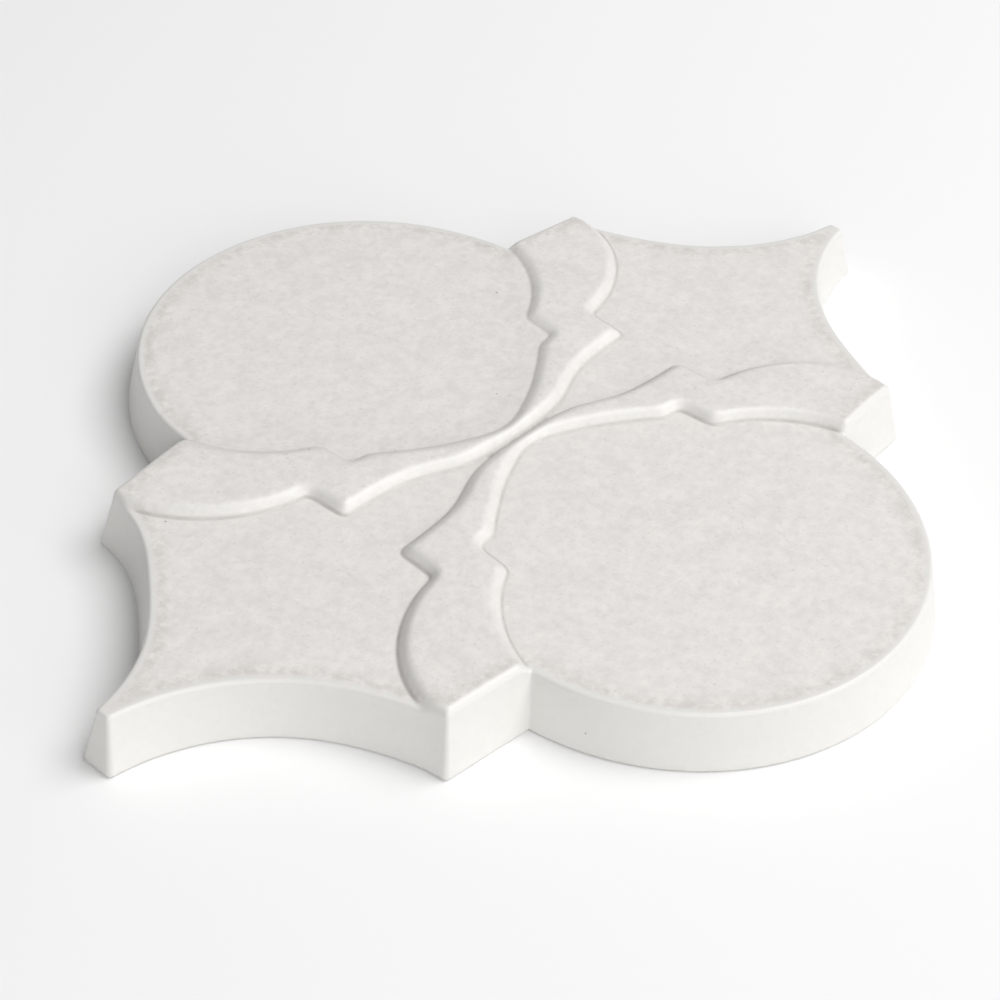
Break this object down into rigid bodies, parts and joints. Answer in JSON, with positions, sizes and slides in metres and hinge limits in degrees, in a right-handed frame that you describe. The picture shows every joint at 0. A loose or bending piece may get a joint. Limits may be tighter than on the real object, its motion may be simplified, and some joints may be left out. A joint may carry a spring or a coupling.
{
  "type": "ceramic accent tile",
  "caption": "Glazed relief wall tile with round lobes, hollow bays and raised leaf strands, in one pressed and fired piece with a flat back.",
  "frame": {"origin": "centre of the flat back", "axes": "+X towards a sharp point, +Y towards a round lobe, +Z out of the decorated face"},
  "size_m": [0.2314, 0.1932, 0.0147],
  "materials": {
    "glazed_tile": "satin"
  },
  "bodies": {
    "root": {"relief_tile": "glazed_tile"}
  },
  "joints": []
}
